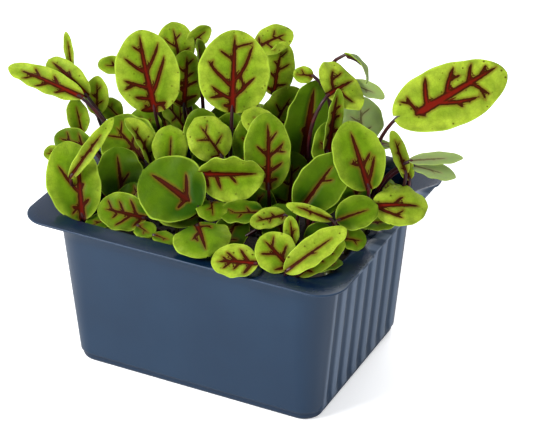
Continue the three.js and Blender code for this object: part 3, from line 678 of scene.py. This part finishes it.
STALK_SIDES, STALK_STEPS, RIDGE_STEPS = 8, 14, 6
STALK_MATERIAL = 1  # its place in the list of a plant's materials
RIDGE_END = 0.5     # how far up the blade its midrib stands out below, as a share of the length
RIDGE_DROP = 0.35   # mm from the blade's middle to the top of that ridge


def stalk_centres(leaf):
    """The stalk's middle from crown to neck, then on under the blade as the midrib's ridge, each
    with its radius."""
    outward = Vector((leaf.neck.x - leaf.foot[0], leaf.neck.y - leaf.foot[1], 0))
    root = Vector((*leaf.foot, SOIL_LEVEL)) + outward.normalized() * STALK_RADIUS
    span = leaf.neck - root
    reach = span.length
    rise = Vector((outward.x, outward.y, 2 * reach)).normalized()
    arrive = leaf.along * math.cos(leaf.bend / 2) + leaf.face * math.sin(leaf.bend / 2)
    arrive = (arrive + span * (STALK_LEAN / reach)).normalized()
    handles = (root, root + rise * 0.4 * reach, leaf.neck - arrive * 0.3 * reach, leaf.neck)
    weights = (1, 3, 3, 1)
    centres = []
    for i in range(STALK_STEPS + 1):
        t = i / STALK_STEPS
        middle = Vector()
        for k, (handle, weight) in enumerate(zip(handles, weights)):
            middle += handle * (weight * t ** k * (1 - t) ** (3 - k))
        centres.append((middle, STALK_RADIUS + (NECK_RADIUS - STALK_RADIUS) * t))
    for i in range(1, RIDGE_STEPS + 1):
        t = i / RIDGE_STEPS
        spot, normal = leaf.point(RIDGE_END * t, 0)
        radius = NECK_RADIUS * (1 - 0.8 * t)
        centres.append((spot - normal * (RIDGE_DROP + radius), radius))
    return centres


def add_stalk(bm, leaf):
    blade = bm.verts.layers.float_vector["blade"]
    centres = stalk_centres(leaf)
    turns = [2 * math.pi * k / STALK_SIDES for k in range(STALK_SIDES)]
    rings = []
    normal = leaf.point(0, 0)[1]
    for i in range(len(centres) - 1, -1, -1):
        centre, radius = centres[i]
        before = centres[max(i - 1, 0)][0]
        after = centres[min(i + 1, len(centres) - 1)][0]
        ahead = (after - before).normalized()
        normal = (normal - ahead * normal.dot(ahead)).normalized()
        across = ahead.cross(normal)
        rings.append([(centre + (normal * math.cos(turn) + across * math.sin(turn)) * radius) * MM
                      for turn in turns])
    verts = wrap_rings(bm, rings[::-1])
    for vert in verts:
        height = (vert.co.z / MM - SOIL_LEVEL) / (leaf.neck.z - SOIL_LEVEL)
        vert[blade] = (0, 0, min(max(height, 0), 1))
    for face in faces_of(verts):
        face.material_index = STALK_MATERIAL


def plant_mesh(number, foot, rows, settings):
    """A plant's blades, stalks and crown."""
    bm = bmesh.new()
    for name in LAYERS:
        bm.verts.layers.float_vector.new(name)
    leaves = [Leaf(row, foot, (number, k)) for k, row in enumerate(rows, 1)]
    for leaf in leaves:
        add_blade(bm, leaf, settings)
    for leaf in leaves:
        add_stalk(bm, leaf)
    crown = bmesh.ops.create_cone(
        bm, cap_ends=True, segments=12, radius1=CROWN_RADIUS * MM, radius2=CROWN_RADIUS * 0.8 * MM,
        depth=(CROWN_BELOW + CROWN_ABOVE) * MM,
        matrix=Matrix.Translation(
            Vector((*foot, SOIL_LEVEL + (CROWN_ABOVE - CROWN_BELOW) / 2)) * MM))["verts"]
    for face in faces_of(crown):
        face.material_index = STALK_MATERIAL
    bmesh.ops.recalc_face_normals(bm, faces=bm.faces)
    return bm


# ---- materials


def new_material(name):
    """A material without nodes, and what adds a node to it."""
    material = bpy.data.materials.new(name)
    material.use_nodes = True
    material.node_tree.nodes.clear()
    return material, functools.partial(add_node, material.node_tree)


def add_node(tree, kind, inputs=(), output=0, **settings):
    """Adds a node with its settings. Inputs are given in order or by place or name, each a value or
    another node's output, and one of the node's outputs comes back."""
    node = tree.nodes.new("ShaderNode" + kind)
    for key, value in settings.items():
        setattr(node, key, value)
    pairs = inputs.items() if isinstance(inputs, dict) else enumerate(inputs)
    for key, value in pairs:
        socket = node.inputs[key]
        if isinstance(value, bpy.types.NodeSocket):
            tree.links.new(value, socket)
        else:
            socket.default_value = (*value, 1) if socket.type == "RGBA" else value
    return node.outputs[output] if node.outputs else None


SMOOTH = {"interpolation_type": "SMOOTHSTEP"}
COLOURS = {"data_type": "RGBA", "output": 2}


def leaf_material(settings):
    """Living sorrel leaf: a thin waxy skin over green flesh, with dark red veins that run into it.
    To the eye: satin green, lighter at the margin, olive beside the veins, and lit through."""
    material, add = new_material("sorrel_leaf_living")
    *layers, flat = (add("Attribute", output="Vector", attribute_name=name) for name in LAYERS)
    parts = (add("SeparateXYZ", (layer,)).node.outputs for layer in layers)
    (way_x, way_y, vein_width), (outside, across, height), (tone, face, _) = parts

    # How far outside a vein a point is: exact beside a vein, and smoothed away from it.
    way = add("CombineXYZ", (way_x, way_y, 0))
    reach = add("VectorMath", (way,), output="Value", operation="LENGTH")
    beside = add("Math", (reach, vein_width), operation="SUBTRACT")
    far = add("MapRange", (outside, 0.5, 1.1), **SMOOTH)
    gap = add("Mix", {0: far, 2: beside, 3: outside}, data_type="FLOAT")
    # A vein's edge wavers by about 0.3 mm over 2 mm.
    waver = add("TexNoise", {"Vector": flat, "Scale": 520, "Detail": 3})
    gap = add("Math", (waver, -0.7, gap), operation="MULTIPLY_ADD")
    gap = add("Math", (gap, 0.35), operation="ADD")
    vein = add("MapRange", (gap, -0.08, 0.2, 1, 0), **SMOOTH)
    # The middles of wide veins are red, partly their own colour and partly a painted highlight that
    # is weaker on deep green leaves; narrow veins keep the dark edge colour.
    core_and_highlight = add("MapRange", (gap, -1.2, -0.45, 1, 0), **SMOOTH)
    bright = add("MapRange", (tone, -0.9, 0.5, 0.15, 1))
    core_and_highlight = add("Math", (core_and_highlight, bright), operation="MULTIPLY")
    halo = add("MapRange", (gap, -0.1, 1.7, 0.85, 0), **SMOOTH)

    # Flesh: green, lighter to the margin and tip, deeper in old and shaded leaves, mottled over 3
    # to 8 mm, and darker toward the neck and middle as painted shade.
    mottle = add("TexNoise", {"Vector": flat, "Scale": 170, "Detail": 4})
    # The lighter margin and tip are partly the leaf's own colour and partly a painted glow of light
    # through the thin blade.
    rim = add("MapRange", (across, 0.35, 1, 0, 0.8), **SMOOTH)
    tip = add("MapRange", (height, 0.72, 1, 0, 0.6), **SMOOTH)
    rim = add("Math", (rim, tip), operation="MAXIMUM")
    rim = add("Math", (tone, 0.55, rim), operation="MULTIPLY_ADD", use_clamp=True)
    # Painted shade: darker toward the neck and the middle of the blade, where the leaves around
    # shade it.
    inner = add("MapRange", (across, 1, 0.5, 0, 1), **SMOOTH)
    base_shade = add("MapRange", (height, 0.55, 0, 0, 0.6), **SMOOTH)
    base_shade = add("Math", (base_shade, inner), operation="MULTIPLY")
    old = add("Math", (tone, -0.9, base_shade), operation="MULTIPLY_ADD", use_clamp=True)
    cloud = add("MapRange", (mottle, 0.35, 0.7, 0, 0.4), **SMOOTH)
    # The net of small veins has meshes of about 2 mm, and a few dark specks of 0.5 mm.
    net = add("TexVoronoi", {"Vector": flat, "Scale": 480}, feature="DISTANCE_TO_EDGE")
    line = add("MapRange", (net, 0.02, 0.1, 0.16, 0), **SMOOTH)
    spots = add("TexVoronoi", {"Vector": flat, "Scale": 260})
    speck = add("MapRange", (spots, 0.08, 0.18, 0.9, 0), **SMOOTH)
    young = add("MapRange", (tone, -0.4, 0.7, 0.2, 1))
    speck = add("Math", (speck, young), operation="MULTIPLY")
    # A painted highlight: a thin light line along the margin.
    edge = add("MapRange", (across, 0.93, 0.99, 0, 0.7), **SMOOTH)
    under = add("MapRange", (face, 0.2, -0.2, 0, 0.6), **SMOOTH)
    flesh = settings.green
    for share, tint in ((rim, settings.margin), (old, settings.deep), (cloud, settings.deep),
                        (halo, settings.halo), (line, settings.deep), (edge, linear("#bcdc48")),
                        (speck, settings.vein_edge), (under, linear("#9fb07c"))):
        flesh = add("Mix", {0: share, 6: flesh, 7: tint}, **COLOURS)
    ink = add("Mix", {0: core_and_highlight, 6: settings.vein_edge, 7: settings.vein}, **COLOURS)
    pale = add("Math", (under, -0.6, 0.95), operation="MULTIPLY_ADD")
    shown = add("Math", (vein, pale), operation="MULTIPLY")
    colour = add("Mix", {0: shown, 6: flesh, 7: ink}, **COLOURS)

    # Veins lie a little below the upper face, and the skin has a fine grain.
    grain = add("TexNoise", {"Vector": flat, "Scale": 1400, "Detail": 2})
    relief = add("Math", (grain, 0.3, line), operation="MULTIPLY_ADD")
    relief = add("Math", (vein, -0.8, relief), operation="MULTIPLY_ADD")
    bump = add("Bump", {"Strength": 0.5, "Distance": 0.25 * MM, "Height": relief})
    rough = add("MapRange", (mottle, 0.3, 0.7, 0.36, 0.5), **SMOOTH)
    skin = add("BsdfPrincipled", {
        "Base Color": colour, "Roughness": rough, "Normal": bump, "IOR": 1.42,
        "Specular IOR Level": 0.07, "Subsurface Weight": 0.15, "Subsurface Scale": 0.7 * MM,
        "Subsurface Radius": (0.7, 1, 0.15)})
    lit = add("Mix", {0: 0.55, 6: colour, 7: linear("#d2e838")}, **COLOURS)
    lit = add("Mix", {0: shown, 6: lit, 7: linear("#5c0a06")}, **COLOURS)
    through = add("BsdfTranslucent", {"Color": lit, "Normal": bump})
    skin = add("MixShader", (0.25, skin, through))
    add("OutputMaterial", (skin,))
    return material


def stalk_material(settings):
    """Living sorrel stalk: juicy, ribbed lengthwise and nearly black red, greener at the crown."""
    material, add = new_material("sorrel_stalk_living")
    blade = add("Attribute", output="Vector", attribute_name="blade")
    height = add("SeparateXYZ", (blade,), output="Z")
    where = add("TexCoord", output="Object")
    blotch = add("TexNoise", {"Vector": where, "Scale": 180, "Detail": 3})
    low = add("MapRange", (height, 0.5, 0, 0, 0.6), **SMOOTH)
    colour = add("Mix", {0: low, 6: settings.stalk, 7: linear("#4d5a26")}, **COLOURS)
    red = add("MapRange", (blotch, 0.5, 0.8, 0, 0.35), **SMOOTH)
    colour = add("Mix", {0: red, 6: colour, 7: settings.vein}, **COLOURS)
    bump = add("Bump", {"Strength": 0.3, "Distance": 0.3 * MM, "Height": blotch})
    skin = add("BsdfPrincipled", {
        "Base Color": colour, "Normal": bump, "Roughness": 0.36, "IOR": 1.42,
        "Subsurface Weight": 0.1, "Subsurface Scale": MM,
        "Subsurface Radius": (1, 0.5, 0.3)})
    add("OutputMaterial", (skin,))
    return material


def tray_material(settings):
    """Polypropylene sheet, vacuum formed: deep slate blue. The flange keeps the roller's gloss, and
    the walls are thinner and duller. The flange's top and the inside are painted dark as shade, the
    foot below its step is painted darker as shade, and the outside of the ribs' ridges is painted
    lighter
    as highlight. To the eye: a dark glossy rim over satin grey-blue walls with light ribs."""
    material, add = new_material("polypropylene_vacuum_formed")
    where = add("TexCoord", output="Object")
    x, y, z = add("SeparateXYZ", (where,)).node.outputs
    across = add("Math", (x,), operation="ABSOLUTE")
    along = add("Math", (y,), operation="ABSOLUTE")
    # A face on the outside looks away from the tray's middle; the inside and the flange's top are
    # painted dark as shade.
    normal = add("NewGeometry", output="Normal")
    away = add("CombineXYZ", (x, y, 0))
    away = add("VectorMath", (normal, away), output="Value", operation="DOT_PRODUCT")
    unshaded = add("MapRange", (away, 5 * MM, 25 * MM), **SMOOTH)
    # The ribs' ridges stand one pitch apart, on the flat part of the two ends, and their outside is
    # painted lighter as highlight.
    pitch = 2 * CORNER_Y / GROOVE_COUNT
    wave = add("Math", (y, 2 * math.pi / (pitch * MM), math.pi * GROOVE_COUNT),
               operation="MULTIPLY_ADD")
    wave = add("Math", (wave,), operation="COSINE")
    ridge = add("MapRange", (wave, -0.5, 0.6, 0, 0.75), **SMOOTH)
    end = add("MapRange", (across, (CORNER_X + 6) * MM, (CORNER_X + 9) * MM), **SMOOTH)
    flat = add("MapRange", (along, (CORNER_Y + 3) * MM, CORNER_Y * MM), **SMOOTH)
    for share in (end, flat, unshaded):
        ridge = add("Math", (ridge, share), operation="MULTIPLY")

    cloud = add("TexNoise", {"Vector": where, "Scale": 22, "Detail": 3})
    stretched = add("Mapping", {"Vector": where, "Scale": (1, 1, 0.12)})
    streak = add("TexNoise", {"Vector": stretched, "Scale": 240, "Detail": 2})
    peel = add("TexNoise", {"Vector": where, "Scale": 900, "Detail": 1})
    thick = add("MapRange", (cloud, 0.3, 0.75, 0, 0.3), **SMOOTH)
    # Painted shade: the foot below its step is darker.
    foot = add("MapRange", (z, FOOT_HEIGHT * MM, (FOOT_HEIGHT - 1) * MM, 0, 0.5))
    wall = settings.plastic
    for share, tint in ((thick, settings.plastic_dark_and_shade), (ridge, settings.plastic_ridge_highlight),
                        (foot, settings.plastic_dark_and_shade)):
        wall = add("Mix", {0: share, 6: wall, 7: tint}, **COLOURS)
    # Painted shade: the inside and the flange's top take the dark colour.
    colour = add("Mix", {0: unshaded, 6: settings.plastic_dark_and_shade, 7: wall}, **COLOURS)
    rough = add("MapRange", (unshaded, 0, 1, 0.2, 0.38))
    rough = add("Math", (streak, 0.1, rough), operation="MULTIPLY_ADD")
    relief = add("Math", (streak, 0.5, peel), operation="MULTIPLY_ADD")
    bump = add("Bump", {"Strength": 0.2, "Distance": 0.08 * MM, "Height": relief})
    skin = add("BsdfPrincipled", {
        "Base Color": colour, "Roughness": rough, "Normal": bump, "IOR": 1.49,
        "Specular IOR Level": 0.4})
    add("OutputMaterial", (skin,))
    return material


def medium_material():
    """Moist coir and peat, pressed loose: nearly black crumbs with lighter fibres, and no gloss."""
    material, add = new_material("coir_and_peat_moist")
    where = add("TexCoord", output="Object")
    crumb = add("TexVoronoi", {"Vector": where, "Scale": 420})
    fibre = add("TexNoise", {"Vector": where, "Scale": 700, "Detail": 5, "Distortion": 1.5})
    colour = add("Mix", {0: crumb, 6: linear("#0d0906"), 7: linear("#211710")}, **COLOURS)
    thread = add("MapRange", (fibre, 0.58, 0.75, 0, 0.6), **SMOOTH)
    colour = add("Mix", {0: thread, 6: colour, 7: linear("#3d2d1e")}, **COLOURS)
    bump = add("Bump", {"Strength": 0.8, "Distance": 0.6 * MM, "Height": fibre})
    skin = add("BsdfPrincipled", {"Base Color": colour, "Normal": bump, "Roughness": 0.95})
    add("OutputMaterial", (skin,))
    return material


def floor_material(colour):
    """Painted board, rolled matt and lit from beneath: an even white ground that keeps only a faint
    shadow."""
    material, add = new_material("painted_board_matt")
    seen = add("LightPath", output="Is Camera Ray")
    glow = add("Math", (seen, 0.55), operation="MULTIPLY")
    skin = add("BsdfPrincipled", {
        "Base Color": colour, "Roughness": 0.8, "Emission Color": colour,
        "Emission Strength": glow})
    add("OutputMaterial", (skin,))
    return material


# ---- operators


class SORREL_OT_tray(bpy.types.Operator):
    """Makes the ribbed tray pot with its flange, lip and foot"""
    bl_idname = "sorrel.tray"
    bl_label = "Tray pot"

    def execute(self, context):
        settings = context.scene.sorrel_tray
        bm = bmesh.new()
        wrap_rings(bm, tray_rings(settings.groove_depth / MM, settings.lip_round / MM))
        finish_piece("tray_pot", bm, [tray_material(settings)], ["tray"])
        return {"FINISHED"}


BED_RINGS = 26
BED_EDGE_DROP = 2       # mm, how far the bed's edge lies under its level
BED_ROUGH, BED_PATTERN = 1.1, 260
CRUMBS, CRUMB_SEED = 260, 5
CRUMB_SIZE, CRUMB_SPREAD, CRUMB_DENT = 1.1, 0.6, 0.5
CRUMB_EDGE = 8          # mm past the corners' centres that crumbs lie
CRUMB_LIFT, CRUMB_PATTERN = 0.3, 900


class SORREL_OT_medium(bpy.types.Operator):
    """Makes the growing medium with its crumbly top"""
    bl_idname = "sorrel.medium"
    bl_label = "Growing medium"

    def execute(self, context):
        reach = context.scene.sorrel_tray.groove_depth / MM + SHEET + GAP
        bm = bmesh.new()

        def ring(share, z):
            return tray_ring(CORNER_X * share, CORNER_Y * share,
                             (wall_radius(SOIL_LEVEL) - reach) * share, z)

        low = tray_ring(CORNER_X, CORNER_Y, wall_radius(FOOT_HEIGHT) - reach, FOOT_HEIGHT + GAP)
        rings = [low, ring(1, SOIL_LEVEL - BED_EDGE_DROP)]
        rings += [ring(1 - (i / BED_RINGS), SOIL_LEVEL) for i in range(1, BED_RINGS)]
        for vert in wrap_rings(bm, rings):
            if vert.co.z > (SOIL_LEVEL - 1) * MM:
                rough = noise.fractal(vert.co * BED_PATTERN, 0.9, 2.1, 4)
                vert.co.z += BED_ROUGH * MM * rough
        draw = seeded_draw(CRUMB_SEED)
        noise.seed_set(CRUMB_SEED)
        for _ in range(CRUMBS):
            spot = Vector((next(draw) * (CORNER_X + CRUMB_EDGE),
                           next(draw) * (CORNER_Y + CRUMB_EDGE), SOIL_LEVEL + CRUMB_LIFT))
            size = CRUMB_SIZE + CRUMB_SPREAD * next(draw)
            crumb = bmesh.ops.create_icosphere(
                bm, subdivisions=1, radius=size * MM, matrix=Matrix.Translation(spot * MM))
            for vert in crumb["verts"]:
                vert.co += noise.noise_vector(vert.co * CRUMB_PATTERN) * CRUMB_DENT * MM
        finish_piece("growing_medium_bed", bm, [medium_material()],
                     ["growing_medium"])
        return {"FINISHED"}


class SORREL_OT_plants(bpy.types.Operator):
    """Makes every sorrel plant: its crown, its stalks and its veined blades"""
    bl_idname = "sorrel.plants"
    bl_label = "Sorrel plants"

    def execute(self, context):
        settings = context.scene.sorrel_plants
        materials = [leaf_material(settings), stalk_material(settings)]
        for number, (foot, *rows) in enumerate(PLANTS, 1):
            node = f"plant_{number:02d}"
            bm = plant_mesh(number, foot, rows, settings)
            finish_piece(f"{node}_leaves", bm, materials, [node])
        return {"FINISHED"}


# The camera looks along a line to TARGET that comes from an azimuth to the right of the front and a
# height over the floor, in degrees, and stands off that line to the right and above, in mm.
TARGET = Vector((0, 0, 63))
VIEW_AZIMUTH, VIEW_HEIGHT = 26.54, 29.89
VIEW_RIGHT, VIEW_UP, VIEW_DISTANCE = 16.33, 14.09, 1161.0
FOCAL_PIXELS, FRAME_PIXELS = 2200, 538
SENSOR = 36

# Each light is (its place in metres, its size, its power as a share of the key light's, whether
# glossy surfaces mirror it). The low front light only fills, and doesn't mirror in the flange.
LIGHTS = {
    "key": ((-0.7, -1.0, 0.95), 0.6, 1, True),
    "front": ((1.0, -1.2, 0.35), 0.35, 0.45, False),
    "back": ((0.1, 1.0, 1.2), 0.8, 0.5, True),
}


class SORREL_OT_stage(bpy.types.Operator):
    """Makes the floor, the soft lights and the camera"""
    bl_idname = "sorrel.stage"
    bl_label = "Stage"

    def execute(self, context):
        settings = context.scene.sorrel_stage
        self.add_floor(settings)
        self.add_camera(context)
        for name, (place, size, share, mirrored) in LIGHTS.items():
            self.add_light(name, place, size, settings.key_power * share, mirrored)
        self.add_world(context, settings)
        context.scene.view_settings.view_transform = "Standard"
        return {"FINISHED"}

    def add_world(self, context, settings):
        """White all round to the eye and in reflections, and dimmer as a light."""
        world = bpy.data.worlds.new("studio")
        world.use_nodes = True
        world.node_tree.nodes.clear()
        add = functools.partial(add_node, world.node_tree)
        seen = add("LightPath", output="Is Camera Ray")
        mirrored = seen.node.outputs["Is Glossy Ray"]
        mirrored = add("Math", (mirrored, 0.8), operation="MULTIPLY")
        seen = add("Math", (seen, mirrored), operation="MAXIMUM")
        strength = add("Mix", {0: seen, 2: settings.room_light, 3: 1.0}, data_type="FLOAT")
        white = add("Background", (linear("#f4f8ff"), strength))
        add("OutputWorld", (white,))
        context.scene.world = world

    def add_floor(self, settings):
        bm = bmesh.new()
        bmesh.ops.create_grid(bm, x_segments=1, y_segments=1, size=4)
        floor = mesh_object("floor", bm, [floor_material(settings.floor)])

    def add_camera(self, context):
        back, right, up = axes(VIEW_AZIMUTH, VIEW_HEIGHT)
        place = (TARGET + right * VIEW_RIGHT + up * VIEW_UP + back * VIEW_DISTANCE) * MM
        data = bpy.data.cameras.new("camera")
        data.sensor_width = SENSOR
        data.lens = FOCAL_PIXELS * SENSOR / FRAME_PIXELS
        camera = add_object("camera", data)
        turn = Matrix((right, up, back)).transposed().to_4x4()
        camera.matrix_world = Matrix.Translation(place) @ turn
        context.scene.camera = camera

    def add_light(self, name, place, size, power, mirrored):
        data = bpy.data.lights.new(name, "AREA")
        data.shape = "DISK"
        data.size = size
        data.energy = power
        light = add_object(name, data)
        light.visible_glossy = mirrored
        aim = (TARGET * MM - Vector(place)).to_track_quat("-Z", "Y")
        light.matrix_world = Matrix.Translation(place) @ aim.to_matrix().to_4x4()


class SORREL_PT_panel(bpy.types.Panel):
    """Lists the operators and their settings"""
    bl_idname = "SORREL_PT_panel"
    bl_label = "Sorrel in a tray pot"
    bl_space_type = "VIEW_3D"
    bl_region_type = "UI"
    bl_category = PANEL_TAB

    def draw(self, context):
        for name, (kind, *operators) in SETTINGS.items():
            for operator in operators:
                self.layout.operator(operator.bl_idname)
            for key in kind.__annotations__:
                self.layout.prop(getattr(context.scene, name), key)


# Each group of settings, and the operators that use it.
SETTINGS = {
    "sorrel_tray": (TraySettings, SORREL_OT_tray, SORREL_OT_medium),
    "sorrel_plants": (PlantSettings, SORREL_OT_plants),
    "sorrel_stage": (StageSettings, SORREL_OT_stage),
}
CLASSES = (*(item for items in SETTINGS.values() for item in items), SORREL_PT_panel)


def register():
    for item in CLASSES:
        bpy.utils.register_class(item)
    for name, (kind, *_) in SETTINGS.items():
        setattr(bpy.types.Scene, name, bpy.props.PointerProperty(type=kind))


def unregister():
    for name in SETTINGS:
        delattr(bpy.types.Scene, name)
    for item in reversed(CLASSES):
        bpy.utils.unregister_class(item)


def main():
    register()
    bpy.ops.sorrel.stage()
    bpy.ops.sorrel.tray()
    bpy.ops.sorrel.medium()
    bpy.ops.sorrel.plants()


if __name__ == "__main__":
    main()
